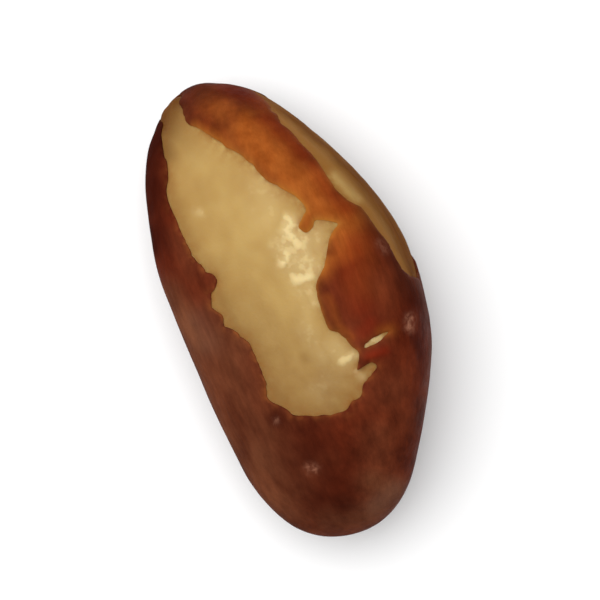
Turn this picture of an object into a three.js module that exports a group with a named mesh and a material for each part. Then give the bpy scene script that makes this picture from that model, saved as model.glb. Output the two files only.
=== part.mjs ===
// A shelled Brazil nut: one kernel lying on its flat side, with its brown skin partly rubbed off.
// Millimetres, +Z up. +X runs from the narrow tip to the blunt end and +Y towards the arched back.
// The origin is under the middle of the kernel, on the surface that it rests on.
import * as THREE from 'three';
import { mergeVertices } from 'three/addons/utils/BufferGeometryUtils.js';

// Driving dimensions
const LENGTH = 34; // narrow tip to blunt end
const HALF_WIDTH = 8.745; // half the width at mid length, seen from above
const THICKNESS = 14.4; // from the rest to the ridge, before the rest is flattened
const REST_DEPTH = 0.22; // how much the resting spot is flattened
const SKIN_DEPTH = 0.22; // how far the bare kernel lies below the skin
const SKIN_EDGE = 0.35; // half the width of the slope between the two

// The middle line seen from above: both tips sit towards the straight belly edge, and the back arches.
// How the arch changes along the kernel is given in powers of the station
const TIP_SIDE = -0.99;
const ARCH = 1.66;
const ARCH_TERMS = [0.47, -1.98, -1.84];

// How the half width changes along the kernel, in powers of the station, on top of an ellipse's
const WIDTH_TERMS = [-0.17, -0.89, 0.65, 1.35];

// Seen from the side: the tips' height over the rest, and how the thickness eases off to the ends
const TIP_HEIGHT = 5.4;
const BLUNT_DROP = 0.45;
const THICKNESS_TERMS = [-0.04, -0.05];

// The flat sides of a section at the narrow tip, at mid length and at the blunt end: the way each side
// faces, in degrees from +Y towards +Z, and how far out it lies, where 1 is the half thickness
const SIDES = {
  underside: { facing: [-86, -90, -92], reach: [1.0, 1.0, 1.0] },
  bellyEdge: { facing: [-150, -158, -152], reach: [1.06, 1.13, 1.04] },
  upperSide: { facing: [122, 127, 128], reach: [0.88, 0.79, 0.88] },
  ridge: { facing: [78, 80, 82], reach: [1.06, 0.985, 0.98] },
  archedBack: { facing: [22, 9, 6], reach: [0.98, 0.97, 1.0] },
  lowerEdge: { facing: [-30, -28, -30], reach: [1.1, 1.22, 1.12] }
};
const CORNERS = [4.6, 5.8, 4.4]; // how crisp the corners between the sides are: 2 is a circle
const CHANGE_POWER = 1.5; // the values hold near mid length and change towards the ends
const ANGLE_STEPS = 180; // steps round a section where its extent is measured

// Slow swells of the surface: the wave along X, Y and Z in radians per mm, its phase and its height
const SWELLS = [
  { wave: [0.33, 0.21, 0.15], phase: 0.6, height: 0.07 },
  { wave: [-0.24, 0.46, 0.3], phase: 2.1, height: 0.06 },
  { wave: [0.52, -0.38, 0.44], phase: 4.0, height: 0.045 },
  { wave: [0.75, 0.62, -0.5], phase: 1.2, height: 0.03 },
  { wave: [-1.1, 0.35, 0.8], phase: 5.1, height: 0.02 }
];

// Bare patch on the upper side, seen from above, from the narrow tip along the ridge and back
const UPPER_PATCH = [
  [-16.2, -2.4], [-14.3, -2.3], [-12.4, -0.7], [-9.2, 1.2], [-6.9, 2.9], [-5.4, 2.9], [-4.4, 2.7],
  [-4.9, 3.7], [-4.1, 5.1], [-3.2, 4.0], [-1.5, 3.1], [-0.8, 2.2], [2.4, 1.8], [4.3, 3.0], [5.9, 2.7],
  [6.2, 4.0], [7.8, 2.2], [8.4, 0.7], [8.2, -0.8], [7.2, -2.8], [5.8, -4.1], [4.4, -3.6], [1.1, -4.1],
  [-0.5, -5.2], [-2.2, -5.6], [-3.6, -4.6], [-5.6, -5.4], [-8.2, -5.7], [-12.5, -5.0], [-15.8, -3.8]
];

// Bare band on the arched back: its upper border seen from above, as X and Y, and its lower border
// seen from the back, as X and Z
const BACK_BAND_UPPER = [
  [-15.3, 2.9], [-14.3, 3.45], [-13.2, 3.65], [-11.2, 4.4], [-9.4, 5.15], [-6.4, 5.8], [-5.4, 6.3],
  [-4.6, 7.0], [-1.7, 7.9], [0.5, 8.25], [1.2, 8.6], [1.7, 9.6]
];
const BACK_BAND_LOWER = [
  [-15.3, 5.5], [-14.4, 4.7], [-13.6, 4.1], [-12.2, 4.2], [-10.4, 3.1], [-8.4, 2.7], [-6.8, 3.6],
  [-5.0, 2.9], [-3.2, 3.7], [-1.4, 3.3], [0.0, 4.2], [1.0, 5.0], [1.6, 9.0]
];

// Bare patch on the underside beside the rest, seen in plan
const UNDER_PATCH = [
  [-12.8, -1.7], [-10.9, 0.3], [-9.0, 0.8], [-7.4, 2.5], [-5.2, 2.9], [-3.7, 1.8], [-4.2, 0.4],
  [-5.8, -0.4], [-6.2, -1.8], [-8.1, -2.4], [-9.3, -3.6], [-11.6, -3.3]
];

const OUTLINE_STEPS = 5; // straight steps from one point of a patch's outline to the next
const BALL_DETAIL = 19; // 8,000 triangles

// Value at a station, from -1 at the narrow tip to 1 at the blunt end, of three values given there
function along([tip, middle, end], station) {
  const part = Math.abs(station) ** CHANGE_POWER;
  return THREE.MathUtils.lerp(middle, station < 0 ? tip : end, part);
}

function powers(terms, value) {
  return terms.reduce((sum, term, index) => sum + term * value ** (index + 1), 0);
}

// Middle and half size of the section at a station, across and in height
function extent(station) {
  const rise = Math.max(0, 1 - station * station);
  return {
    middleY: TIP_SIDE + rise * (ARCH + powers(ARCH_TERMS, station)),
    halfY: Math.sqrt(rise) * (HALF_WIDTH + powers(WIDTH_TERMS, station)),
    middleZ: TIP_HEIGHT + (THICKNESS / 2 - TIP_HEIGHT) * rise - BLUNT_DROP * station * rise,
    halfZ: Math.sqrt(rise) * (THICKNESS / 2) * (1 + powers(THICKNESS_TERMS, station))
  };
}

// Distance from the section's centre to its outline: flat sides with rounded corners
function sectionRadius(station, angle) {
  const crispness = along(CORNERS, station);
  let sum = 0;
  for (const side of Object.values(SIDES)) {
    const turn = angle - THREE.MathUtils.degToRad(along(side.facing, station));
    sum += (Math.max(0, Math.cos(turn)) / along(side.reach, station)) ** crispness;
  }
  return sum ** (-1 / crispness);
}

// The outline's lowest and highest point each way, before it is fitted to the kernel's size
function sectionBox(station) {
  const box = new THREE.Box2();
  for (let step = 0; step < ANGLE_STEPS; step++) {
    const angle = (step / ANGLE_STEPS) * 2 * Math.PI;
    const radius = sectionRadius(station, angle);
    box.expandByPoint(new THREE.Vector2(Math.cos(angle), Math.sin(angle)).multiplyScalar(radius));
  }
  return box;
}

function waves(list, point) {
  return list.reduce((sum, { wave, phase, height }) => (
    sum + height * Math.sin(point.dot(new THREE.Vector3(...wave)) + phase)
  ), 0);
}

// Point of the skin's surface in a direction from the middle of a unit ball
function surfacePoint(direction) {
  const station = THREE.MathUtils.clamp(direction.x, -1, 1);
  const angle = Math.atan2(direction.z, direction.y);
  const box = sectionBox(station);
  const size = box.getSize(new THREE.Vector2());
  const radius = sectionRadius(station, angle);
  const across = ((radius * Math.cos(angle) - box.min.x) / size.x) * 2 - 1;
  const upward = ((radius * Math.sin(angle) - box.min.y) / size.y) * 2 - 1;
  const { middleY, halfY, middleZ, halfZ } = extent(station);
  const point = new THREE.Vector3(
    (LENGTH / 2) * station,
    middleY + halfY * across,
    middleZ + halfZ * upward
  );
  const swell = waves(SWELLS, point) * Math.sqrt(1 - station * station);
  point.y += swell * Math.cos(angle);
  point.z += swell * Math.sin(angle);
  return point;
}

// Closed smooth outline through the given points
function closedOutline(points) {
  const corners = points.map(([a, b]) => new THREE.Vector3(a, b, 0));
  const curve = new THREE.CatmullRomCurve3(corners, true, 'catmullrom');
  return curve.getPoints(points.length * OUTLINE_STEPS);
}

// Distance from a point to a closed outline, above zero inside it
function insideBy(outline, a, b) {
  const point = new THREE.Vector3(a, b, 0);
  const nearest = new THREE.Vector3();
  const edge = new THREE.Line3();
  let distance = Infinity;
  let inside = false;
  for (let index = 1; index < outline.length; index++) {
    const from = outline[index - 1];
    const to = outline[index];
    edge.set(from, to).closestPointToPoint(point, true, nearest);
    distance = Math.min(distance, nearest.distanceTo(point));
    if (from.y > b !== to.y > b && a < from.x + ((to.x - from.x) * (b - from.y)) / (to.y - from.y)) {
      inside = !inside;
    }
  }
  return inside ? distance : -distance;
}

// Height at x of a border given as points in order of x, carried straight on past its ends
function borderAt(points, x) {
  const above = points.findIndex(([place]) => place > x);
  const next = above < 0 ? points.length - 1 : Math.max(1, above);
  const [fromX, from] = points[next - 1];
  const [toX, to] = points[next];
  return THREE.MathUtils.mapLinear(x, fromX, toX, from, to);
}

const upperPatch = closedOutline(UPPER_PATCH);
const underPatch = closedOutline(UNDER_PATCH);

// How far inside a bare patch a point of the surface is, below zero where the skin is left
function bareBy(point) {
  const aboveMiddle = point.z - extent((point.x / LENGTH) * 2).middleZ;
  return Math.max(
    Math.min(insideBy(upperPatch, point.x, point.y), aboveMiddle),
    Math.min(insideBy(underPatch, point.x, point.y), -aboveMiddle),
    Math.min(
      point.y - borderAt(BACK_BAND_UPPER, point.x),
      point.z - borderAt(BACK_BAND_LOWER, point.x),
      point.x - BACK_BAND_UPPER[0][0]
    )
  );
}

// The kernel: a ball's mesh shaped by the sections, sunk where the skin is gone, flat where it rests
function kernelGeometry() {
  const ball = new THREE.IcosahedronGeometry(1, BALL_DETAIL);
  ball.deleteAttribute('normal');
  ball.deleteAttribute('uv');
  const geometry = mergeVertices(ball);
  const place = geometry.attributes.position;
  const points = [];
  for (let index = 0; index < place.count; index++) {
    const point = surfacePoint(new THREE.Vector3().fromBufferAttribute(place, index));
    points.push(point);
    place.setXYZ(index, point.x, point.y, point.z);
  }
  geometry.computeVertexNormals();

  const normal = new THREE.Vector3();
  points.forEach((point, index) => {
    normal.fromBufferAttribute(geometry.attributes.normal, index);
    const bare = THREE.MathUtils.smoothstep(bareBy(point), -SKIN_EDGE, SKIN_EDGE);
    point.addScaledVector(normal, -SKIN_DEPTH * bare);
    place.setXYZ(index, point.x, point.y, Math.max(0, point.z - REST_DEPTH));
  });

  geometry.computeBoundingBox();
  const middle = geometry.boundingBox.getCenter(new THREE.Vector3());
  geometry.translate(-middle.x, -middle.y, 0);
  geometry.computeVertexNormals();
  return geometry;
}

const skin = new THREE.MeshStandardMaterial({ color: 0x6b2a17, roughness: 0.5, metalness: 0 });
const kernel = new THREE.Mesh(kernelGeometry(), skin);
kernel.name = 'brazil_nut_kernel';

const part = new THREE.Group();
part.add(kernel);

export default part;
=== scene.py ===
"""A shelled Brazil nut on its flat side, its brown skin partly worn off down to the cream flesh."""
import math

import bpy
import numpy as np
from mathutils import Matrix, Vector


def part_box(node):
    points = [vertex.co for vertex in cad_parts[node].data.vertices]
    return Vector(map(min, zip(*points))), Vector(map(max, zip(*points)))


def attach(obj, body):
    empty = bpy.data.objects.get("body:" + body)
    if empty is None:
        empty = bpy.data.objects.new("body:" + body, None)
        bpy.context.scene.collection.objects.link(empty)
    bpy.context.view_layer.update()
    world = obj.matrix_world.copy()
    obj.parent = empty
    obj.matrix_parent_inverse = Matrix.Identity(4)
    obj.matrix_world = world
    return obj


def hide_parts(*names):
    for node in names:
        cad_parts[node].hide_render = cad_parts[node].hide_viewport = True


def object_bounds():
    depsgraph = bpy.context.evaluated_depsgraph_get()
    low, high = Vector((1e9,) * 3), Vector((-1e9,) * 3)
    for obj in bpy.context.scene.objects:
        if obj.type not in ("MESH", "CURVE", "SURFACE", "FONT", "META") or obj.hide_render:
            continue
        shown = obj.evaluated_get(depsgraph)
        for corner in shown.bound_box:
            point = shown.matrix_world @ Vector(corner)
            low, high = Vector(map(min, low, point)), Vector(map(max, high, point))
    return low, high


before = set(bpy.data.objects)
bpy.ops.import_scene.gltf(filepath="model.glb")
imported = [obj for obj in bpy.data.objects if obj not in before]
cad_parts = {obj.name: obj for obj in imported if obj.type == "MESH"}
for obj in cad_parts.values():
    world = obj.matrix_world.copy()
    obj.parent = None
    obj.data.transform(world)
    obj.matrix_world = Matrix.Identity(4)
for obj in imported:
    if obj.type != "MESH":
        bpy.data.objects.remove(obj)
NODE = "brazil_nut_kernel"
CAD_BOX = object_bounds()
MM = 0.001

# Driving dimensions in millimetres, as in the solid. +X runs from the narrow tip to the blunt end, and
# +Y towards the arched back
LENGTH = 34.0
HALF_WIDTH = 8.745
THICKNESS = 14.4
REST_DEPTH = 0.22
SKIN_DEPTH = 0.22
SKIN_ROOT = 0.1  # how far the skin's inner face lies inside the flesh

# The middle line seen from above, and the half width, in powers of the station
TIP_SIDE = -0.99
ARCH = 1.66
ARCH_TERMS = (0.47, -1.98, -1.84)
WIDTH_TERMS = (-0.17, -0.89, 0.65, 1.35)

# The tips' height seen from the side, and how the thickness eases off to the ends
TIP_HEIGHT = 5.4
BLUNT_DROP = 0.45
THICKNESS_TERMS = (-0.04, -0.05)

# The flat sides of a section at the narrow tip, at mid length and at the blunt end: the way each side
# faces, in degrees from +Y towards +Z, and how far out it lies, where 1 is the half thickness
SIDES = {
    "underside": ((-86, -90, -92), (1.0, 1.0, 1.0)),
    "belly edge": ((-150, -158, -152), (1.06, 1.13, 1.04)),
    "upper side": ((122, 127, 128), (0.88, 0.79, 0.88)),
    "ridge": ((78, 80, 82), (1.06, 0.985, 0.98)),
    "arched back": ((22, 9, 6), (0.98, 0.97, 1.0)),
    "lower edge": ((-30, -28, -30), (1.1, 1.22, 1.12)),
}
CORNERS = (4.6, 5.8, 4.4)  # how crisp the corners between the sides are: 2 is a circle
CHANGE_POWER = 1.5  # the values hold near mid length and change towards the ends

# The stations and the turns round a section where its extent is measured
STATIONS = np.linspace(-1, 1, 801)
TURNS = np.radians(np.arange(0, 360, 0.5))

# Slow swells of the surface: wave along X, Y and Z in radians per mm, phase and height
SWELLS = (
    ((0.33, 0.21, 0.15), 0.6, 0.07),
    ((-0.24, 0.46, 0.3), 2.1, 0.06),
    ((0.52, -0.38, 0.44), 4.0, 0.045),
    ((0.75, 0.62, -0.5), 1.2, 0.03),
    ((-1.1, 0.35, 0.8), 5.1, 0.02),
)

# Bare patch on the upper side, seen from above
UPPER_PATCH = (
    (-17.2, -2.2), (-15.4, -2.4), (-14.45, -2.35), (-13.8, -1.75), (-12.4, -0.7), (-10.7, 0.6),
    (-9.2, 1.15), (-7.75, 2.2), (-6.75, 3.0), (-5.85, 3.3), (-5.3, 2.85), (-4.8, 2.35), (-4.25, 2.7),
    (-4.45, 3.3), (-4.85, 3.65), (-4.5, 4.5), (-4.05, 5.1), (-3.7, 4.6), (-3.2, 4.0), (-2.35, 3.5),
    (-1.75, 3.15), (-1.25, 2.75), (-0.75, 2.3), (0.2, 1.8), (2.4, 1.85), (3.15, 2.45), (4.25, 2.95),
    (5.0, 3.2), (5.45, 2.85), (6.05, 2.6), (5.9, 3.3), (5.85, 3.8), (6.2, 4.0), (6.45, 3.8), (6.8, 3.3),
    (7.15, 2.7), (7.85, 2.2), (7.9, 1.5), (8.35, 0.7), (8.2, -0.8), (7.7, -2.05), (7.35, -2.75),
    (6.85, -3.0), (5.8, -3.9), (5.0, -3.8), (4.4, -3.6), (2.0, -3.8), (1.05, -4.15), (-0.4, -5.15),
    (-2.2, -5.35), (-3.0, -4.8), (-3.6, -4.6), (-4.5, -4.95), (-5.6, -5.35), (-8.2, -5.65),
    (-10.2, -5.6), (-11.35, -5.2), (-12.5, -4.85), (-13.75, -4.75), (-14.6, -4.45), (-15.3, -4.1),
    (-15.9, -4.2), (-17.2, -3.9),
)
# Bare band on the arched back: its upper border as X and Y, its lower border as X and Z
BACK_BAND_UPPER = (
    (-15.3, 2.9), (-14.3, 3.45), (-13.2, 3.65), (-12.0, 4.05), (-11.2, 4.4), (-9.4, 5.15), (-7.8, 5.55),
    (-6.4, 5.8), (-5.4, 6.3), (-4.6, 7.0), (-1.7, 7.9), (0.5, 8.25), (1.2, 8.6), (1.7, 9.6),
)
BACK_BAND_LOWER = (
    (-15.3, 5.5), (-14.4, 4.7), (-13.6, 4.1), (-12.2, 4.2), (-10.4, 3.1), (-8.4, 2.7), (-6.8, 3.6),
    (-5.0, 2.9), (-3.2, 3.7), (-1.6, 3.2), (-0.4, 3.9), (0.15, 4.9), (0.4, 6.0), (1.1, 6.7), (1.6, 9.0),
)
# Bare patch on the underside, seen in plan
UNDER_PATCH = (
    (-12.8, -1.7), (-10.9, 0.3), (-9.0, 0.8), (-7.4, 2.5), (-5.2, 2.9), (-3.7, 1.8), (-4.2, 0.4),
    (-5.8, -0.4), (-6.2, -1.8), (-8.1, -2.4), (-9.3, -3.6), (-11.6, -3.3),
)

# A short tear in the skin above the patch's blunt end
TEAR = (
    (4.72, 3.72), (4.42, 4.05), (4.28, 4.6), (4.22, 5.2), (4.3, 5.65), (4.5, 5.3), (4.64, 4.8),
    (4.76, 4.2),
)

# Marks that a relief or a colour follows: a line seen from above, its reach to the sides, its strength
# First the flap of skin beside the tear, with how far it stands up
FLAPS = ((((5.9, 3.0), (5.4, 3.6), (5.35, 4.9)), 0.4, 0.18),)
# Where the skin is worn, with how far it is worn down
WORN_SKIN = (
    (((-16.6, 1.0), (-15.8, 2.1), (-15.0, 3.0)), 1.1, 0.19),
    (((-15.8, -3.8), (-14.9, -4.6)), 1.0, 0.17),
)
# Where the bare flesh is as high as the skin, with how much of its depth goes
FULL_FLESH = ((((-17.0, -2.0), (-16.3, -3.2), (-15.4, -4.1)), 1.2, 0.9),)
# Dull brown skin: partly its own tone, partly painted sheen round the blunt end's rim and along the
# belly side's edge
DULL_SKIN_AND_SHEEN = (
    (((-3.5, -7.9), (0.5, -7.2)), 1.3, 1.0),
    # Painted sheen round the blunt end's rim
    (((13.8, 0.9), (15.1, 1.9), (15.9, -0.2), (15.2, -3.0)), 1.4, 0.95),
    (((11.0, 2.5), (13.0, 1.5)), 1.8, 0.5),
)
# Thin orange skin, mostly along the ridge
THIN_SKIN = (
    (((-12.2, 1.8), (-9.6, 3.1), (-5.6, 4.6), (-4.2, 5.4)), 1.9, 1.0),
    (((-15.0, 0.0), (-12.6, 1.6)), 1.3, 0.42),
    (((-13.7, -1.5), (-11.8, 0.2), (-9.6, 1.4)), 0.6, 0.45),
    (((-4.2, 5.6), (-2.4, 4.6)), 1.2, 0.7),
    (((-2.2, 4.2), (-1.6, 2.8)), 0.8, 0.55),
    (((0.2, 2.3), (2.4, 2.4), (3.4, 2.9)), 0.3, 0.25),
    (((-4.7, 4.6), (-5.0, 3.2)), 1.1, 1.0),
    (((-1.4, 5.1), (0.6, 5.1)), 1.6, 0.2),
    (((4.45, 5.6), (4.35, 6.1)), 0.45, 0.28),
    (((-1.5, -7.2), (0.5, -6.9)), 0.9, 0.14),
)
# Where the skin's edge thins out to ochre
PALE_EDGE = (
    (((-1.3, 3.0), (-0.8, 2.2), (0.2, 1.8), (2.4, 1.9), (3.2, 2.5), (4.3, 3.0)), 0.6, 0.35),
)
# Brighter red skin
RED_SKIN = (
    (((5.3, 3.8), (5.35, 4.9)), 0.4, 0.5),
    (((3.2, 4.6), (3.6, 4.1)), 0.8, 0.4),
    (((-2.2, 5.4), (-0.6, 4.6), (2.0, 4.4)), 1.2, 0.35),
    (((-8.4, 4.9), (-6.2, 5.3), (-4.8, 6.0)), 0.7, 0.35),
    (((-12.8, 3.0), (-11.0, 4.0), (-9.4, 4.6)), 0.8, 0.35),
    (((-16.2, 1.0), (-15.0, 2.3), (-13.6, 3.1)), 0.7, 0.25),
)
# Small pale scuffs of the skin, and a painted sheen, a little paler and greyer, where the skin turns
# away at its rim
SCUFFS = (
    (((3.9, 7.4), (4.5, 7.15)), 0.32, 0.4),
    (((-1.7, 7.3), (-1.2, 7.4)), 0.35, 0.12),
    (((11.3, -2.9), (11.4, -2.6)), 0.32, 0.28),
    (((7.25, -3.95), (7.3, -3.85)), 0.22, 0.18),
)
RIM_SHEEN_MARKS = (
    (((14.8, 2.3), (15.5, 0.5)), 0.7, 0.12),
    (((-1.2, -7.0), (0.4, -6.8)), 1.1, 0.12),
)
# Dark skin: stains, and painted shade along the belly side's outline and in the blunt end's middle
STAINS_AND_SHADE = (
    (((-16.7, -1.2), (-16.4, 0.8)), 1.6, 0.45),
    (((2.2, 4.8), (6.5, 4.2)), 0.9, 0.22),
    (((8.0, -6.2), (10.5, -5.0)), 1.5, 0.2),
    (((-4.4, -6.2), (2.4, -6.0)), 0.9, 0.22),
    (((0.8, -6.7), (2.4, -6.9)), 0.8, 0.3),
    (((7.8, -5.0), (11.0, -4.9)), 1.0, 0.3),
    (((11.4, -3.3), (12.2, -3.1)), 0.6, 0.5),
    (((7.2, -3.9), (7.3, -3.9)), 0.7, 0.9),
    # Painted shade in the blunt end's middle, darker than its rim
    (((10.3, -2.6), (11.8, -2.2), (14.2, -2.5)), 2.2, 0.7),
    # Painted shade along the steep outline of the belly side, from the narrow tip
    (((-16.0, -3.4), (-15.0, -4.8), (-11.0, -7.2), (-7.5, -8.3)), 1.8, 1.0),
    (((-16.6, -0.4), (-16.0, 1.0), (-15.1, 2.0), (-13.9, 2.6), (-12.0, 3.5), (-9.0, 4.8)), 0.9, 0.6),
    (((-9.0, 4.9), (-6.5, 5.4)), 0.6, 0.2),
    (((5.5, 3.1), (5.6, 3.5)), 0.35, 0.5),
    (((-6.0, 5.8), (-5.0, 6.4), (-3.5, 7.05), (0.0, 7.8), (3.0, 8.2)), 0.8, 0.6),
)
# Chalky scrapes of the flesh
SCRAPES = (
    (((-5.4, 1.9), (-4.8, 1.6)), 0.55, 0.85),
    (((-4.8, 1.5), (-3.6, 1.9)), 0.55, 0.85),
    (((-4.2, 2.4), (-3.3, 2.2), (-1.7, 1.9)), 0.9, 0.62),
    (((-4.0, 3.3), (-3.0, 3.1)), 0.8, 0.35),
    (((-3.2, 0.95), (-2.95, 0.35)), 0.5, 0.85),
    (((-4.2, 0.2), (-4.1, 0.3)), 0.4, 0.4),
    (((-1.5, 0.9), (-1.3, 1.8)), 0.55, 0.9),
    (((-3.6, 1.3), (-2.2, 1.6)), 1.2, 0.6),
    (((-0.9, 1.6), (0.6, 1.5)), 0.5, 0.4),
    (((-1.0, 1.0), (1.0, 0.7), (2.4, 0.4), (4.4, 0.7)), 0.7, 0.25),
    (((3.9, 1.7), (4.9, 2.2)), 0.9, 0.35),
    (((4.95, 1.9), (5.1, 2.8)), 0.45, 0.7),
    (((6.3, 2.6), (6.5, 2.7)), 0.35, 0.4),
    (((5.9, 0.4), (6.4, -0.3)), 0.9, 0.18),
    (((4.6, 3.8), (4.45, 4.7)), 0.5, 0.5),
    (((-8.6, 1.0), (-6.4, 0.8)), 1.3, 0.25),
    (((-8.5, -4.0), (-8.3, -3.9)), 0.3, 0.4),
)
# Brown of the flesh: small stains, and painted shade at the narrow tip and along the patch's belly-side
# border
BROWN_FLESH_AND_SHADE = (
    # Painted shade at the narrow tip and along the patch's belly-side border near it
    (((-17.0, -2.4), (-16.4, -3.4), (-15.4, -4.4)), 2.1, 1.0),
    (((-15.6, -3.9), (-14.6, -4.3), (-13.2, -4.7)), 1.1, 0.75),
    (((-4.5, 4.3), (-4.0, 4.8), (-3.7, 4.3)), 0.5, 0.15),
    (((3.8, -0.5), (4.0, -0.5)), 0.4, 0.25),
    (((-2.4, -4.7), (-0.4, -4.5)), 0.6, 0.3),
    # Painted shade along the patch's belly-side border
    (((-15.0, -4.4), (-13.0, -4.9), (-10.5, -5.4), (-5.6, -5.2), (-3.6, -4.5)), 0.7, 0.3),
    (
        ((-2.2, -5.4), (-0.4, -5.1), (1.0, -4.0), (4.4, -3.5), (6.5, -3.2), (7.6, -1.8), (8.2, 0.2)),
        0.8, 0.25,
    ),
)
# The flesh's pale crest, and the paler stripe of the bare band on the back, where its painted shade is
# left out
CREST = ((((-0.2, 1.2), (2.4, 1.1), (4.8, 2.3)), 0.9, 0.7),)
PALE_STRIPE = ((((-7.3, 6.1), (-6.1, 6.6), (-5.2, 7.05)), 0.4, 0.95),)
MARK_FADE = 2.5  # how far below mid height the marks fade out

# How far the skin's edge strays from its drawn line, in lumps and sharp bays, both large and small
EDGE_LUMPS = (0.14, 0.05)
EDGE_BAYS = (0.3, 0.1)
BAY_SHARE = 0.3  # the noise's level at which a bay leaves the line as it is
RAGGED_MEAN = 0.55  # how much of the bays there is, which changes along the edge
RAGGED_SPREAD = 1.1
RAGGED_LEAST = 0.15
THIN_CALM = 0.6  # how much less a thin edge strays
TEAR_STRAY = 0.08

# Relief of the skin
EDGE_STEP = 0.08  # the step left at its worn edge
THIN_STEP_LOSS = 0.03  # how much lower the step is where the skin is thin
EDGE_WEAR_REACH = 0.22  # how far in from the edge it is worn
FLAKE_HEIGHT = 0.3
FLAKE_LEVEL = 0.22  # the noise's level over which a flake stands
FLAKE_REACH = 0.3
THIN_FLAKE_LOSS = 0.7
SKIN_FIBRE = 0.01
SKIN_LUMPS = 0.035
SHARP_ANGLE = 50  # degrees between two faces over which their edge is shaded sharp

# Relief of the flesh
FLESH_LUMPS = (0.02, 0.012)  # large and small
CHALK_HEIGHT = 0.05
CHALK_GRAINS = 0.09
FULL_REACH = 0.6  # how far in from its border full flesh has its whole height

# Cells of the grids along and round the nut, and where they are split
SKIN_CELLS = (104, 56)
FLESH_CELLS = (112, 60)
FINE_REACHES = (0.75, 0.3)  # the skin, within each of these distances from a border
FINE_SCUFFS = 0.1  # the skin, where a scuff is over this strength, both times
FINE_FLESH = 0.3  # the flesh, from this far under the skin
FINE_SCRAPES = 0.1  # the flesh again, where a scrape is over this strength
CUT_SHARES = (0.1, 0.9)  # a cut along a border stays this far from the ends of the grid's edges

# Strength of the marks of thin skin, and how scrapes break up
THIN_STRENGTH = 1.4
SCRAPE_WHOLE = 0.6  # how much of a scrape stays where it is broken up
SCRAPE_NOISE = 0.9
SCRAPE_LEVELS = (0.4, 0.65)  # where it is broken up, and where it is whole

# Spread of the skin's dull brown, partly painted sheen, each pair from where it starts to where it is
# full
DULL_ACROSS = (-1.5, -5.5)
DULL_ALONG = (-3.5, 0.5)
DULL_SIDE = 0.75
DULL_PATCHES = 0.45
DULL_LEAST = 0.12

# Painted shade low down on the skin, where its sides turn away from the light
LOW_START = 0.3  # its upper border over mid height, as a share of the half height
LOW_SPAN = 0.5  # how far under that border it is full, as a share of the half height
LOW_SPAN_LEAST = 0.01
LOW_SHADE = 0.4
STAIN_AND_SHADE_PATCHES = 0.5

# Spread of the flesh's ochre, partly painted shade and partly its own browner tone, which starts nearer
# the narrow tip on the belly side
OCHRE_ALONG = (-0.5, 6.0)
OCHRE_ACROSS = (-1, -2)
OCHRE_SLANT = 3
OCHRE_END = 0.85
OCHRE_PATCHES = 0.3
CREST_CLEARS = 0.6

# Spread of the painted shade on the arched back: a tan over its bare band, and a darker brown down its
# steep outer part
BACK_SHADE_FADE = 0.3
STEEP_SHADE_ACROSS = (-1.1, -0.5)  # from the outermost line of the back
STEEP_SHADE_STRAY = 0.15
STEEP_SHADE_STRENGTH = 0.85
STEEP_SHADE_PATCHES = 0.25

# How far in from the border the skin frays and the flesh is browner
EDGE_REACH = 0.18
BORDER_REACH = 0.4


def along(values, station):
    """Value at each station, -1 at the narrow tip to 1 at the blunt end, of the three values given."""
    tip, middle, end = values
    part = np.abs(station) ** CHANGE_POWER
    return middle + (np.where(station < 0, tip, end) - middle) * part


def powers(terms, value):
    return sum(term * value ** (index + 1) for index, term in enumerate(terms))


def ramp(value, start, end):
    """From 0 at the start to 1 at the end, which may lie below the start."""
    return np.clip((value - start) / (end - start), 0, 1)


def stack(*columns):
    return np.stack(columns, 1)


def unit(vectors):
    return vectors / np.linalg.norm(vectors, axis=1, keepdims=True)


def extent(station):
    """Middle and half size of the section at each station, across and in height."""
    rise = np.clip(1 - station * station, 0, 1)
    middle_y = TIP_SIDE + rise * (ARCH + powers(ARCH_TERMS, station))
    half_y = np.sqrt(rise) * (HALF_WIDTH + powers(WIDTH_TERMS, station))
    middle_z = TIP_HEIGHT + (THICKNESS / 2 - TIP_HEIGHT) * rise - BLUNT_DROP * station * rise
    half_z = np.sqrt(rise) * (THICKNESS / 2) * (1 + powers(THICKNESS_TERMS, station))
    return middle_y, half_y, middle_z, half_z


def extent_at(x):
    """The same at places along the nut in millimetres."""
    return extent(np.clip(x / LENGTH * 2, -1, 1))


def section_radius(station, angle):
    """Distance from the section's centre to its outline: flat sides with rounded corners."""
    crispness = along(CORNERS, station)
    total = 0
    for facing, reach in SIDES.values():
        turn = angle - np.radians(along(facing, station))
        total = total + (np.clip(np.cos(turn), 0, None) / along(reach, station)) ** crispness
    return total ** (-1 / crispness)


def section_boxes():
    """Lowest and highest of each station's outline, across and in height."""
    radius = section_radius(STATIONS[:, None], TURNS[None, :])
    across, upward = radius * np.cos(TURNS), radius * np.sin(TURNS)
    return across.min(1), across.max(1), upward.min(1), upward.max(1)


SECTION_BOXES = section_boxes()


def waves(items, points):
    return sum(height * np.sin(points @ np.array(wave) + phase) for wave, phase, height in items)


def surface(directions):
    """Points of the skin's smooth surface in directions from the middle of a unit ball."""
    station = np.clip(directions[:, 0], -1, 1)
    angle = np.arctan2(directions[:, 2], directions[:, 1])
    radius = section_radius(station, angle)
    low_y, high_y, low_z, high_z = (np.interp(station, STATIONS, edge) for edge in SECTION_BOXES)
    across = (radius * np.cos(angle) - low_y) / (high_y - low_y) * 2 - 1
    upward = (radius * np.sin(angle) - low_z) / (high_z - low_z) * 2 - 1
    middle_y, half_y, middle_z, half_z = extent(station)
    points = stack(LENGTH / 2 * station, middle_y + half_y * across, middle_z + half_z * upward)
    swell = waves(SWELLS, points) * np.sqrt(1 - station * station)
    points[:, 1] += swell * np.cos(angle)
    points[:, 2] += swell * np.sin(angle)
    return points


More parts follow.
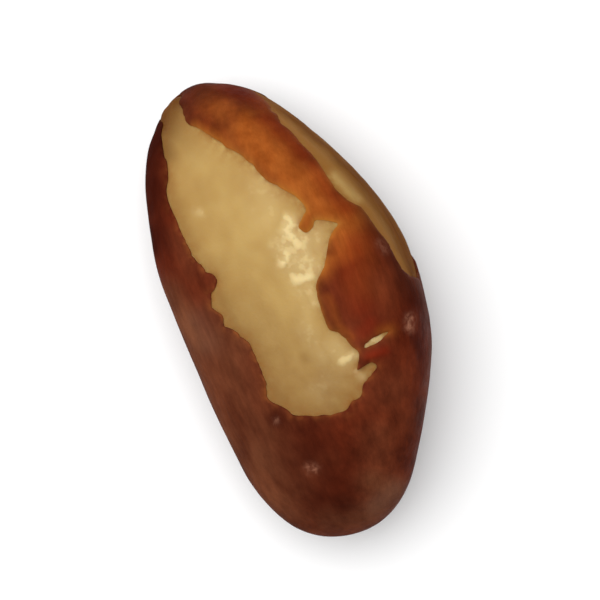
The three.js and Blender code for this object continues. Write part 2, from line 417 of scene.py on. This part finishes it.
def surface_normals(directions, step=0.004, near_axis=0.9):
    """Outward normals of the smooth surface, from small steps to both sides of each direction."""
    helper = np.where(np.abs(directions[:, :1]) < near_axis, [[1.0, 0, 0]], [[0, 1.0, 0]])
    first = unit(np.cross(directions, helper))
    second = np.cross(directions, first)
    sides = [
        surface(unit(directions + step * side)) - surface(unit(directions - step * side))
        for side in (first, second)
    ]
    return unit(np.cross(*sides))


def closed_outline(points, steps=5):
    """Closed Catmull-Rom curve through the given points, in straight steps from each to the next."""
    here = np.array(points)
    before, after, beyond = np.roll(here, 1, 0), np.roll(here, -1, 0), np.roll(here, -2, 0)
    rows = [
        here
        + 0.5 * (after - before) * t
        + (before - 2.5 * here + 2 * after - 0.5 * beyond) * t**2
        + (1.5 * here - 0.5 * before - 1.5 * after + 0.5 * beyond) * t**3
        for t in np.arange(steps) / steps
    ]
    return stack(*rows).reshape(-1, 2)


def line_distance(line, a, b):
    """Distance from each point to a line of straight stretches."""
    distance = np.full(a.shape, np.inf)
    for (from_a, from_b), (to_a, to_b) in zip(line[:-1], line[1:]):
        run_a, run_b = to_a - from_a, to_b - from_b
        part = ((a - from_a) * run_a + (b - from_b) * run_b) / (run_a**2 + run_b**2)
        part = np.clip(part, 0, 1)
        distance = np.minimum(distance, np.hypot(a - from_a - part * run_a, b - from_b - part * run_b))
    return distance


def inside_by(outline, a, b):
    """Distance from each point to a closed outline, above zero inside it."""
    closed = np.vstack([outline, outline[:1]])
    inside = np.zeros(a.shape, bool)
    for (from_a, from_b), (to_a, to_b) in zip(closed[:-1], closed[1:]):
        crosses = (from_b > b) != (to_b > b)
        level = (b - from_b) / ((to_b - from_b) or 1)
        inside ^= crosses & (a < from_a + (to_a - from_a) * level)
    distance = line_distance(closed, a, b)
    return np.where(inside, distance, -distance)


def border_at(points, x):
    """Height at x of a border given as points in order of x, carried straight on past its ends."""
    places, heights = np.array(points).T
    slopes = np.diff(heights) / np.diff(places)
    before = np.minimum(x - places[0], 0) * slopes[0]
    after = np.maximum(x - places[-1], 0) * slopes[-1]
    return np.interp(x, places, heights) + before + after


# Whole numbers that mix a cell's place and the seed into a value that looks random
MIXER = 2654435761
AXIS_MIXERS = (374761393, 668265263, 2246822519)
MIX_SHIFT = 15
VALUE_BITS = 24  # how many of the 32 mixed bits make the value
OCTAVE_SHIFT = 31.7  # moves each octave of the noise off the others


def cell_value(cells, seed):
    """Repeatable value from -1 to 1 for each whole-numbered cell."""
    mixed = np.full(cells.shape[:-1], seed * MIXER % 2**32, np.uint32)
    for axis, factor in enumerate(AXIS_MIXERS):
        mixed ^= cells[..., axis].astype(np.uint32) * np.uint32(factor)
        mixed = (mixed ^ (mixed >> np.uint32(MIX_SHIFT))) * np.uint32(MIXER)
    return (mixed >> np.uint32(32 - VALUE_BITS)) / 2.0 ** (VALUE_BITS - 1) - 1


def rough(points, size, seed, octaves=1, stretch=(1, 1, 1)):
    """Smooth noise of about -1 to 1 with lumps of the given size in mm, longer by stretch.

    Each further octave adds lumps half as large and half as strong.
    """
    total, weight, reach = 0, 1.0, 0
    for octave in range(octaves):
        place = points / (size * np.array(stretch)) * 2**octave + OCTAVE_SHIFT * (octave + 1)
        cell = np.floor(place).astype(np.int64)
        part = place - cell
        part = part * part * (3 - 2 * part)
        value = 0
        for corner in np.ndindex(2, 2, 2):
            share = np.prod(np.where(corner, part, 1 - part), axis=1)
            value = value + share * cell_value(cell + np.array(corner), seed + octave)
        total = total + weight * value
        reach += weight
        weight *= 0.5
    return total / reach


def wandering(points, by, size, seed):
    """The points moved by noise, so that marks looked up there lose their even outline."""
    return points + by * rough(points, size, seed, octaves=2)[:, None]


def marks_at(points, marks):
    """From 0 to 1, how near each point of the upper side is to the given marks, fading out below it."""
    x, y, z = points.T
    total = np.zeros(len(points))
    for line, reach, strength in marks:
        total = np.maximum(total, strength * np.exp(-(line_distance(line, x, y) / reach) ** 2))
    return total * ramp(z - extent_at(x)[2], -MARK_FADE, 0)


def scrape_at(points):
    """From 0 to 1, how chalky the flesh is."""
    chalk = marks_at(wandering(points, by=0.3, size=0.8, seed=48), SCRAPES)
    grains = SCRAPE_NOISE * rough(points, size=0.45, seed=41, octaves=3)
    return chalk * (SCRAPE_WHOLE + (1 - SCRAPE_WHOLE) * ramp(chalk + grains, *SCRAPE_LEVELS))


def thin_at(points):
    """From 0 to 1, how thin and orange the skin is worn."""
    marks = marks_at(wandering(points, by=0.6, size=2.2, seed=42), THIN_SKIN)
    return np.clip(THIN_STRENGTH * marks, 0, 1)


def torn(points):
    """How much the skin's edge strays from its drawn line: lumps, and sharp bays where it is ragged."""
    large_lumps, small_lumps = rough(points, size=1.7, seed=11), rough(points, size=0.7, seed=12)
    lumps = EDGE_LUMPS[0] * large_lumps + EDGE_LUMPS[1] * small_lumps
    large_bays = BAY_SHARE - np.abs(rough(points, size=1.3, seed=14))
    small_bays = BAY_SHARE - np.abs(rough(points, size=0.5, seed=13))
    bays = EDGE_BAYS[0] * large_bays + EDGE_BAYS[1] * small_bays
    ragged = np.clip(RAGGED_MEAN + RAGGED_SPREAD * rough(points, size=4.5, seed=15), RAGGED_LEAST, 1)
    return (lumps + bays * ragged) * (1 - THIN_CALM * thin_at(points))


def bare_by(points):
    """How far inside a bare patch each point is, below zero where the skin is left."""
    x, y, z = points.T
    above_middle = z - extent_at(x)[2]
    band = np.minimum(y - border_at(BACK_BAND_UPPER, x), z - border_at(BACK_BAND_LOWER, x))
    patches = [
        np.minimum(inside_by(closed_outline(UPPER_PATCH), x, y), above_middle),
        np.minimum(inside_by(closed_outline(UNDER_PATCH), x, y), -above_middle),
        np.minimum(band, x - BACK_BAND_UPPER[0][0]),
    ]
    stray = TEAR_STRAY * rough(points, size=0.4, seed=16)
    tear = np.minimum(inside_by(closed_outline(TEAR), x, y) + stray, above_middle)
    return np.maximum(np.maximum.reduce(patches) + torn(points), tear)


def ball_grid(long_cells, round_cells, digits=7):
    """Directions and triangles of a ball, from a cube's grid with more cells along X.

    Points of neighbouring faces that are the same to so many digits become one.
    """
    points, quads, count = [], [], 0
    for axis in range(3):
        across, upward = (axis + 1) % 3, (axis + 2) % 3
        cells = [long_cells if side == 0 else round_cells for side in (across, upward)]
        steps = [np.tan(np.linspace(-1, 1, n + 1) * math.pi / 4) for n in cells]
        a, b = np.meshgrid(*steps, indexing="ij")
        index = np.arange(a.size).reshape(a.shape)
        corners = [index[:-1, :-1], index[1:, :-1], index[1:, 1:], index[:-1, 1:]]
        face = stack(*[corner.ravel() for corner in corners])
        for sign in (-1, 1):
            place = np.zeros((a.size, 3))
            place[:, axis], place[:, across], place[:, upward] = sign, a.ravel(), b.ravel()
            points.append(unit(place))
            quads.append((face if sign > 0 else face[:, ::-1]) + count)
            count += a.size
    points, quads = np.vstack(points), np.vstack(quads)
    _, first, merged = np.unique(points.round(digits), axis=0, return_index=True, return_inverse=True)
    quads = merged.ravel()[quads]
    return points[first], np.vstack([quads[:, [0, 1, 2]], quads[:, [0, 2, 3]]])


def split(directions, triangles, near):
    """The mesh with each edge between two chosen points halved, and the triangles on it split."""
    count = near[triangles].sum(1)
    whole, part = triangles[count == 3], triangles[count == 2]
    lone = np.argmin(near[part], axis=1)
    part = np.take_along_axis(part, (lone[:, None] + np.arange(3)) % 3, 1)
    pairs = np.vstack([whole[:, [0, 1]], whole[:, [1, 2]], whole[:, [2, 0]], part[:, [1, 2]]])
    edges, which = np.unique(np.sort(pairs, 1), axis=0, return_inverse=True)
    which = which.ravel() + len(directions)
    middles = unit(directions[edges[:, 0]] + directions[edges[:, 1]])
    (a, b, c), (d, e, f) = whole.T, which[: 3 * len(whole)].reshape(3, -1)
    (g, h, i), j = part.T, which[3 * len(whole):]
    made = [triangles[count < 2], stack(a, d, f), stack(d, b, e), stack(f, e, c), stack(d, e, f)]
    made += [stack(g, h, j), stack(g, j, i)]
    return np.vstack([directions, middles]), np.vstack(made)


def cut_away(directions, triangles, value):
    """The mesh where value is below zero, cut along the line of zero, and the edges of that line."""
    kept = value < 0
    count = kept[triangles].sum(1)

    def turned(chosen, lone):
        """Triangles with that many kept corners, turned so that the corner unlike the others leads."""
        some = triangles[count == chosen]
        place = np.argmax(kept[some] == lone, axis=1)
        return np.take_along_axis(some, (place[:, None] + np.arange(3)) % 3, 1)

    two, one = turned(2, False), turned(1, True)
    pairs = np.vstack([two[:, [0, 1]], two[:, [0, 2]], one[:, [0, 1]], one[:, [0, 2]]])
    edges, which = np.unique(np.sort(pairs, 1), axis=0, return_inverse=True)
    start, end = value[edges[:, 0]], value[edges[:, 1]]
    part = np.clip(start / (start - end), *CUT_SHARES)[:, None]
    cuts = unit(directions[edges[:, 0]] * (1 - part) + directions[edges[:, 1]] * part)
    which = which.ravel() + len(directions)
    n_two, n_one = len(two), len(one)
    two_a, two_b, one_a, one_b = np.split(which, [n_two, 2 * n_two, 2 * n_two + n_one])
    made = [
        triangles[count == 3],
        stack(two_a, two[:, 1], two[:, 2]),
        stack(two_a, two[:, 2], two_b),
        stack(one[:, 0], one_a, one_b),
    ]
    rim = np.vstack([stack(two_b, two_a), stack(one_a, one_b)])
    used, faces = np.unique(np.vstack(made), return_inverse=True)
    place = np.zeros(len(directions) + len(cuts), int)
    place[used] = np.arange(len(used))
    return np.vstack([directions, cuts])[used], faces.reshape(-1, 3), place[rim]


def settle(points, depth_in=0.0):
    """Points over the resting surface, with the resting spot flat at that depth inside the outside."""
    points[:, 2] = np.maximum(points[:, 2] - REST_DEPTH, depth_in)
    return points


def skin_mesh():
    """The skin: an outer face, an inner face just inside the flesh, and a torn edge between them."""
    directions, triangles = ball_grid(*SKIN_CELLS)
    for reach in FINE_REACHES:
        smooth = surface(directions)
        near = (np.abs(bare_by(smooth)) < reach) | (marks_at(smooth, SCUFFS) > FINE_SCUFFS)
        directions, triangles = split(directions, triangles, near)
    directions, triangles, rim = cut_away(directions, triangles, bare_by(surface(directions)))
    smooth, normals = surface(directions), surface_normals(directions)
    depth_in = np.clip(-bare_by(smooth), 0, None)
    thin = np.maximum(thin_at(smooth), marks_at(smooth, PALE_EDGE))
    near_edge = np.exp(-depth_in / FLAKE_REACH)
    worn = (SKIN_DEPTH - EDGE_STEP + THIN_STEP_LOSS * thin) * np.exp(-depth_in / EDGE_WEAR_REACH)
    worn = np.maximum(worn, marks_at(smooth, WORN_SKIN))
    flakes = FLAKE_HEIGHT * np.clip(rough(smooth, size=1.2, seed=21, octaves=2) - FLAKE_LEVEL, 0, 1)
    flakes = flakes * near_edge * (1 - THIN_FLAKE_LOSS * thin)
    fibre = SKIN_FIBRE * rough(smooth, size=0.7, seed=22, octaves=2, stretch=(4, 1, 1))
    lumps = SKIN_LUMPS * rough(smooth, size=2.4, seed=23, octaves=2)
    relief = flakes + marks_at(smooth, FLAPS) + (fibre + lumps) * (1 - thin * near_edge)
    outer = smooth + normals * (relief - worn)[:, None]
    inner = settle(smooth - normals * (SKIN_DEPTH + SKIN_ROOT), SKIN_DEPTH + SKIN_ROOT)
    count = len(smooth)
    start, end = rim.T
    walls = [stack(end, start, start + count), stack(end, start + count, end + count)]
    faces = np.vstack([triangles, triangles[:, ::-1] + count, *walls])
    return np.vstack([settle(outer), inner]), faces, np.tile(smooth, (2, 1)), np.tile(depth_in, 2)


def flesh_mesh():
    """The flesh: a whole closed kernel, one skin's depth inside the outer surface."""
    directions, triangles = ball_grid(*FLESH_CELLS)
    directions, triangles = split(directions, triangles, bare_by(surface(directions)) > -FINE_FLESH)
    directions, triangles = split(directions, triangles, scrape_at(surface(directions)) > FINE_SCRAPES)
    smooth, normals = surface(directions), surface_normals(directions)
    scrape, bare = scrape_at(smooth), np.clip(bare_by(smooth), 0, None)
    large_lumps = rough(smooth, size=1.8, seed=31, octaves=2)
    lumps = FLESH_LUMPS[0] * large_lumps + FLESH_LUMPS[1] * rough(smooth, size=0.6, seed=33)
    grains = np.abs(rough(smooth, size=0.5, seed=32, octaves=2))
    chalk = scrape * (CHALK_HEIGHT + CHALK_GRAINS * grains)
    depth = SKIN_DEPTH * (1 - marks_at(smooth, FULL_FLESH) * ramp(bare, 0, FULL_REACH))
    points = settle(smooth + normals * (lumps + chalk - depth)[:, None], SKIN_DEPTH)
    return points, triangles, smooth, scrape, bare


def dull_and_sheen_at(points):
    """From 0 to 1, how dull and brown the skin is, partly its own tone and partly painted sheen: mostly
    on the belly side, in patches elsewhere.
    """
    x, y, _ = points.T
    side = DULL_SIDE * ramp(y, *DULL_ACROSS) * ramp(x, *DULL_ALONG)
    patchy = side + DULL_PATCHES * rough(points, size=3.4, seed=43, octaves=2) + DULL_LEAST
    return np.clip(np.maximum(patchy, marks_at(points, DULL_SKIN_AND_SHEEN)), 0, 1)


def stain_and_shade_at(points):
    """From 0 to 1, how dark the skin is: in its stains, in painted shade along its outlines, and in
    painted shade low down all round.
    """
    x, _, z = points.T
    middle_z, half_z = extent_at(x)[2:]
    start = middle_z + LOW_START * half_z
    # Painted shade low down all round
    low = LOW_SHADE * ramp(z, start, start - LOW_SPAN * half_z - LOW_SPAN_LEAST)
    patchy = 1 + STAIN_AND_SHADE_PATCHES * rough(points, size=1.6, seed=44, octaves=2)
    return np.clip(np.maximum(marks_at(points, STAINS_AND_SHADE), low) * patchy, 0, 1)


def ochre_at(points):
    """From 0 to 1, how dark the flesh is: towards the blunt end, partly as painted shade, and in
    patches.
    """
    x, y, _ = points.T
    end = OCHRE_END * ramp(x + OCHRE_SLANT * ramp(y, *OCHRE_ACROSS), *OCHRE_ALONG)
    patchy = OCHRE_PATCHES * rough(points, size=2.6, seed=45, octaves=2)
    return np.clip(end + patchy - CREST_CLEARS * marks_at(points, CREST), 0, 1)


def back_shade_at(points):
    """From 0 to 1, how much painted shade turns the flesh tan on the arched back, but for one paler
    stripe.
    """
    x, y, _ = points.T
    back = ramp(y - border_at(BACK_BAND_UPPER, x), -BACK_SHADE_FADE, 0)
    return back * (1 - marks_at(points, PALE_STRIPE))


def steep_shade_at(points):
    """From 0 to 1, how strong the painted shade on the flesh is, down the steep back."""
    x, y, _ = points.T
    middle_y, half_y = extent_at(x)[:2]
    outward = y - middle_y - half_y + STEEP_SHADE_STRAY * rough(points, size=1.2, seed=46, octaves=2)
    patchy = np.clip(STEEP_SHADE_STRENGTH + STEEP_SHADE_PATCHES * rough(points, size=3.0, seed=47), 0, 1)
    return ramp(outward, *STEEP_SHADE_ACROSS) * patchy


def skin_values(points, depth_in):
    """What the skin's material reads at each point, by name."""
    edge = np.exp(-depth_in / EDGE_REACH)
    thin = thin_at(points)
    return {
        "thin": thin,
        "edge": edge,
        "fringe": edge * np.maximum(thin, marks_at(points, PALE_EDGE)),
        "dull": dull_and_sheen_at(points),
        "stain_and_shade": stain_and_shade_at(points),
        "rim_sheen": marks_at(points, RIM_SHEEN_MARKS),
        "scuff": marks_at(points, SCUFFS),
        "red": marks_at(points, RED_SKIN),
    }


def flesh_values(points, scrape, depth_in):
    """What the flesh's material reads at each point, by name."""
    brown = marks_at(points, BROWN_FLESH_AND_SHADE)
    return {
        "scrape": scrape,
        "brown": brown,
        "border": np.exp(-depth_in / BORDER_REACH) * (1 - marks_at(points, CREST)) * (1 - brown),
        "ochre": ochre_at(points),
        "back": back_shade_at(points),
        "steep_shade": steep_shade_at(points),
    }


def linear(value):
    """Brightness of one channel given as a 0 to 255 screen value, by the sRGB curve."""
    level = value / 255
    return ((level + 0.055) / 1.055) ** 2.4 if level > 0.04045 else level / 12.92


LIGHT_GAIN = 1.08  # how much brighter than its own colour a white surface shows


def srgb(*channels):
    """Colour of a surface that shows the given screen values under this light."""
    return (*[linear(value) / LIGHT_GAIN for value in channels], 1.0)


# Colours of the skin, with two shades where they mottle
RED = (srgb(70, 22, 9), srgb(105, 39, 18))
# Dull brown, partly a painted sheen
DULL_BROWN_AND_SHEEN = (srgb(84, 41, 23), srgb(109, 61, 38))
ORANGE = (srgb(136, 66, 20), srgb(156, 82, 30))
FRAYED = srgb(140, 78, 36)
FRINGE = srgb(164, 102, 38)
# Dark of the stains and of the painted shade
STAIN_AND_SHADE_DARK = srgb(54, 15, 6)
BRIGHT_RED = srgb(128, 32, 12)
# A painted sheen at the rim
RIM_SHEEN = srgb(170, 128, 104)
SCUFFED = srgb(196, 134, 106)

# Colours of the flesh
CREAM = (srgb(166, 131, 75), srgb(180, 148, 89))
# Ochre, partly painted shade
OCHRE = (srgb(143, 108, 61), srgb(157, 124, 74))
# Painted shade on the arched back
BACK_SHADE_TAN = srgb(140, 96, 42)
# Brown of the stains and of the painted shade
BROWN_STAIN_AND_SHADE = srgb(96, 55, 17)
BORDER_BROWN = srgb(144, 94, 45)
# Painted shade down the steep back, in two mottled browns
STEEP_SHADE_BROWNS = (srgb(84, 44, 10), srgb(114, 66, 20))
CHALK = srgb(220, 198, 145)

# Shine of both, and how much rougher the skin is in its stains and painted shade, and the flesh in its
# scrapes and the painted shade down its steep back
SPECULAR = 0.015
STAIN_AND_SHADE_ROUGHENS = 0.3
SCRAPE_AND_SHADE_ROUGHENS = 0.35

# Light that passes through the flesh: how much, how far in mm, and the shares of that for each colour
SUBSURFACE = 0.3
SUBSURFACE_REACH = 1.0
SUBSURFACE_SHARES = (1.0, 0.55, 0.25)

OFFSET_PARTS = (1, 0.7, 1.3)  # how an offset moves a material's noise along X, Y and Z


def nodes_of(name):
    material = bpy.data.materials.new(name)
    material.use_nodes = True
    tree = material.node_tree
    return material, tree, tree.nodes["Principled BSDF"]


class Paint:
    """Short ways to add the nodes that both materials use."""

    def __init__(self, tree):
        self.tree = tree
        self.place = self.add("ShaderNodeTexCoord").outputs["Object"]

    def add(self, kind, **settings):
        node = self.tree.nodes.new(kind)
        for name, value in settings.items():
            setattr(node, name, value)
        return node

    def put(self, socket, value):
        """Links another node's output to the socket, or sets it to a plain value."""
        if hasattr(value, "links"):
            self.tree.links.new(value, socket)
        else:
            socket.default_value = value

    def noise(self, size, detail=3.0, roughness=0.55, stretch=(1, 1, 1), offset=0.0):
        """Noise with lumps of that size in mm, longer by stretch."""
        mapping = self.add("ShaderNodeMapping")
        self.put(mapping.inputs["Vector"], self.place)
        mapping.inputs["Scale"].default_value = [1 / (size * MM * longer) for longer in stretch]
        mapping.inputs["Location"].default_value = [offset * part for part in OFFSET_PARTS]
        node = self.add("ShaderNodeTexNoise")
        self.put(node.inputs["Vector"], mapping.outputs["Vector"])
        node.inputs["Scale"].default_value = 1.0
        node.inputs["Detail"].default_value = detail
        node.inputs["Roughness"].default_value = roughness
        return node.outputs["Fac"]

    def patches(self, levels, becomes=(0.0, 1.0), **noise):
        """Noise whose values between the two levels go from the first to the second value given."""
        node = self.add("ShaderNodeMapRange")
        self.put(node.inputs["Value"], self.noise(**noise))
        for name, number in zip(("From Min", "From Max", "To Min", "To Max"), (*levels, *becomes)):
            node.inputs[name].default_value = number
        return node.outputs["Result"]

    def value(self, name):
        """A value that each vertex holds under that name."""
        return self.add("ShaderNodeAttribute", attribute_name=name).outputs["Fac"]

    def math(self, operation, a, b):
        node = self.add("ShaderNodeMath", operation=operation)
        self.put(node.inputs[0], a)
        self.put(node.inputs[1], b)
        return node.outputs[0]

    def mix(self, share, a, b, blend="MIX"):
        node = self.add("ShaderNodeMix", data_type="RGBA", blend_type=blend)
        self.put(node.inputs["Factor"], share)
        self.put(node.inputs["A"], a)
        self.put(node.inputs["B"], b)
        return node.outputs["Result"]

    def bump(self, height, distance, normal=None):
        """Normals of a relief that is the given distance high in mm, on top of another's."""
        node = self.add("ShaderNodeBump")
        node.inputs["Distance"].default_value = distance * MM
        self.put(node.inputs["Height"], height)
        if normal is not None:
            self.put(node.inputs["Normal"], normal)
        return node.outputs["Normal"]


def skin_material():
    material, tree, shader = nodes_of("seed_skin")
    paint = Paint(tree)
    mottle = paint.patches(levels=(0.34, 0.66), size=1.9, detail=5.0, roughness=0.6, stretch=(1.7, 1, 1))
    # The dull brown is partly a painted sheen
    colour = paint.mix(paint.value("dull"), paint.mix(mottle, *RED), paint.mix(mottle, *DULL_BROWN_AND_SHEEN))
    blotches = paint.patches(levels=(0.35, 0.65), size=1.4, detail=4.0, offset=4.0)
    colour = paint.mix(paint.value("thin"), colour, paint.mix(blotches, *ORANGE))
    fraying = paint.patches(levels=(0.4, 0.65), becomes=(0.0, 0.7), size=0.9, detail=2.0, offset=6.0)
    colour = paint.mix(paint.math("MULTIPLY", paint.value("edge"), fraying), colour, FRAYED)
    # Fringe, stains with painted shade, brighter red, and a painted sheen at the rim
    for name, shade in (("fringe", FRINGE), ("stain_and_shade", STAIN_AND_SHADE_DARK), ("red", BRIGHT_RED), ("rim_sheen", RIM_SHEEN)):
        colour = paint.mix(paint.value(name), colour, shade)
    chips = paint.patches(levels=(0.38, 0.58), becomes=(0.3, 1.2), size=0.35, offset=12.0)
    colour = paint.mix(paint.math("MULTIPLY", paint.value("scuff"), chips), colour, SCUFFED)
    veins = paint.patches(
        levels=(0.3, 0.7), becomes=(0.88, 1.1), size=0.4, detail=4.0, stretch=(6, 1, 1), offset=9.0
    )
    colour = paint.mix(1.0, colour, veins, "MULTIPLY")
    paint.put(shader.inputs["Base Color"], colour)
    sheen = paint.patches(levels=(0.3, 0.7), becomes=(0.44, 0.62), size=0.9, detail=4.0, offset=2.0)
    rougher = paint.math("MULTIPLY", paint.value("stain_and_shade"), STAIN_AND_SHADE_ROUGHENS)
    paint.put(shader.inputs["Roughness"], paint.math("ADD", sheen, rougher))
    shader.inputs["Specular IOR Level"].default_value = SPECULAR
    grain = paint.bump(paint.noise(size=0.14, detail=4.0, stretch=(2, 1, 1)), distance=0.025)
    fibre = paint.noise(size=0.5, detail=4.0, stretch=(5, 1, 1), offset=9.0)
    paint.put(shader.inputs["Normal"], paint.bump(fibre, distance=0.06, normal=grain))
    return material


def flesh_material():
    material, tree, shader = nodes_of("kernel_flesh")
    paint = Paint(tree)
    cream = paint.mix(paint.patches(levels=(0.34, 0.66), size=3.6, detail=2.0), *CREAM)
    ochre = paint.mix(paint.patches(levels=(0.35, 0.7), size=1.6, offset=7.0), *OCHRE)
    # Ochre, partly painted shade towards the blunt end and the belly side
    colour = paint.mix(paint.value("ochre"), cream, ochre)
    # Painted shade on the arched back
    colour = paint.mix(paint.value("back"), colour, BACK_SHADE_TAN)
    # Brown stains, and painted shade at the tip and the belly-side border
    colour = paint.mix(paint.value("brown"), colour, BROWN_STAIN_AND_SHADE)
    fraying = paint.patches(levels=(0.3, 0.6), size=0.6, detail=4.0, offset=8.0)
    colour = paint.mix(paint.math("MULTIPLY", paint.value("border"), fraying), colour, BORDER_BROWN)
    streaks = paint.patches(
        levels=(0.3, 0.7), size=0.8, detail=5.0, roughness=0.6, stretch=(4, 1, 1), offset=11.0
    )
    # Painted shade down the steep back
    colour = paint.mix(paint.value("steep_shade"), colour, paint.mix(streaks, *STEEP_SHADE_BROWNS))
    colour = paint.mix(paint.value("scrape"), colour, CHALK)
    paint.put(shader.inputs["Base Color"], colour)
    shader.inputs["Subsurface Weight"].default_value = SUBSURFACE
    shader.inputs["Subsurface Radius"].default_value = SUBSURFACE_SHARES
    shader.inputs["Subsurface Scale"].default_value = SUBSURFACE_REACH * MM
    shader.inputs["Specular IOR Level"].default_value = SPECULAR
    sheen = paint.patches(levels=(0.3, 0.7), becomes=(0.42, 0.56), size=0.9, detail=4.0, offset=3.0)
    scraped_and_shaded = paint.math("MAXIMUM", paint.value("scrape"), paint.value("steep_shade"))
    rougher = paint.math("MULTIPLY", scraped_and_shaded, SCRAPE_AND_SHADE_ROUGHENS)
    paint.put(shader.inputs["Roughness"], paint.math("ADD", sheen, rougher))
    grain = paint.bump(paint.noise(size=0.25, detail=4.0), distance=0.03)
    lumps = paint.noise(size=1.2, offset=5.0)
    paint.put(shader.inputs["Normal"], paint.bump(lumps, distance=0.06, normal=grain))
    return material


class Fit:
    """Maps the drawn outer size onto the solid's box, which it matches to a few hundredths of a mm."""

    def __init__(self, points):
        low, high = np.array(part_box(NODE)) / MM
        self.low, self.from_low = low, points.min(0)
        self.scale = (high - low) / (points.max(0) - points.min(0))

    def __call__(self, points):
        return self.low + (points - self.from_low) * self.scale


def make_piece(name, points, triangles, material):
    """A mesh object from points in millimetres, riding on the nut's body in place of the solid."""
    mesh = bpy.data.meshes.new(name)
    mesh.vertices.add(len(points))
    mesh.vertices.foreach_set("co", (points * MM).astype(np.float32).ravel())
    mesh.loops.add(triangles.size)
    mesh.loops.foreach_set("vertex_index", triangles.astype(np.int32).ravel())
    mesh.polygons.add(len(triangles))
    mesh.polygons.foreach_set("loop_start", np.arange(0, triangles.size, 3, dtype=np.int32))
    mesh.update(calc_edges=True)
    mesh.validate()
    mesh.polygons.foreach_set("use_smooth", np.ones(len(triangles), bool))
    mesh.materials.append(material)
    piece = bpy.data.objects.new(name, mesh)
    bpy.context.scene.collection.objects.link(piece)
    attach(piece, "root")
    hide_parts(NODE)
    return piece


def add_values(piece, values):
    """Numbers for each vertex, which the material reads by name."""
    for name, numbers in values.items():
        attribute = piece.data.attributes.new(name, "FLOAT", "POINT")
        attribute.data.foreach_set("value", numbers.astype(np.float32))


def build_nut():
    skin_points, skin_faces, skin_smooth, skin_depth = skin_mesh()
    flesh_points, flesh_faces, flesh_smooth, scrape, flesh_depth = flesh_mesh()
    fit = Fit(np.vstack([skin_points, flesh_points]))
    flesh = make_piece("kernel_flesh", fit(flesh_points), flesh_faces, flesh_material())
    add_values(flesh, flesh_values(flesh_smooth, scrape, flesh_depth))
    skin = make_piece("seed_skin", fit(skin_points), skin_faces, skin_material())
    skin.data.set_sharp_from_angle(angle=math.radians(SHARP_ANGLE))
    add_values(skin, skin_values(skin_smooth, skin_depth))


# The photo looks straight down, with the nut's length turned from the picture's upright
LEAN = math.radians(20.76)
CAMERA_HEIGHT = 0.3
FRAME_WIDTH = 42.5 * MM
FRAME_SHIFT = 0.05 * MM  # how far the frame's middle lies towards the arched back
SENSOR = 36.0
CLIP_START = 0.01

# One large soft light: its place in metres, to the right and up in the photo's view and over the floor
LIGHT_PLACE = (-0.16, 0.12, 0.58)
LIGHT_SIZE = 0.9
LIGHT_POWER = 5.7

# The white floor and sky round it
FLOOR_HALF = 2.0
FLOOR_GREY = 0.92
FLOOR_ROUGHNESS = 0.9
SKY_STRENGTH = 0.4


def make_camera():
    low, high = CAD_BOX
    middle = (low + high) / 2
    camera = bpy.data.cameras.new("camera")
    camera.sensor_width = SENSOR
    camera.lens = SENSOR * (CAMERA_HEIGHT - middle.z) / FRAME_WIDTH
    camera.clip_start = CLIP_START
    holder = bpy.data.objects.new("camera", camera)
    holder.location = (middle.x, middle.y + FRAME_SHIFT, CAMERA_HEIGHT)
    holder.rotation_euler = (0, 0, math.pi / 2 - LEAN)
    bpy.context.scene.collection.objects.link(holder)
    bpy.context.scene.camera = holder


def in_picture(right, up, height):
    """A place given to the right and up in the photo's view, in metres."""
    sine, cosine = math.sin(LEAN), math.cos(LEAN)
    return (sine * right - cosine * up, cosine * right + sine * up, height)


def make_light():
    """The light, turned towards the nut."""
    light = bpy.data.lights.new("key", "AREA")
    light.shape = "DISK"
    light.size = LIGHT_SIZE
    light.energy = LIGHT_POWER
    holder = bpy.data.objects.new("key", light)
    holder.location = in_picture(*LIGHT_PLACE)
    direction = -holder.location
    holder.rotation_euler = direction.to_track_quat("-Z", "Y").to_euler()
    bpy.context.scene.collection.objects.link(holder)


def make_floor():
    mesh = bpy.data.meshes.new("floor")
    signs = ((-1, -1), (1, -1), (1, 1), (-1, 1))
    mesh.from_pydata([(x * FLOOR_HALF, y * FLOOR_HALF, 0) for x, y in signs], [], [(0, 1, 2, 3)])
    material, _, shader = nodes_of("floor")
    shader.inputs["Base Color"].default_value = (FLOOR_GREY, FLOOR_GREY, FLOOR_GREY, 1)
    shader.inputs["Roughness"].default_value = FLOOR_ROUGHNESS
    mesh.materials.append(material)
    floor = bpy.data.objects.new("floor", mesh)
    bpy.context.scene.collection.objects.link(floor)


def make_sky():
    world = bpy.data.worlds.new("world")
    world.use_nodes = True
    sky = world.node_tree.nodes["Background"]
    sky.inputs["Color"].default_value = (1, 1, 1, 1)
    sky.inputs["Strength"].default_value = SKY_STRENGTH
    bpy.context.scene.world = world
    bpy.context.scene.view_settings.view_transform = "Standard"


build_nut()
make_camera()
make_floor()
make_light()
make_sky()
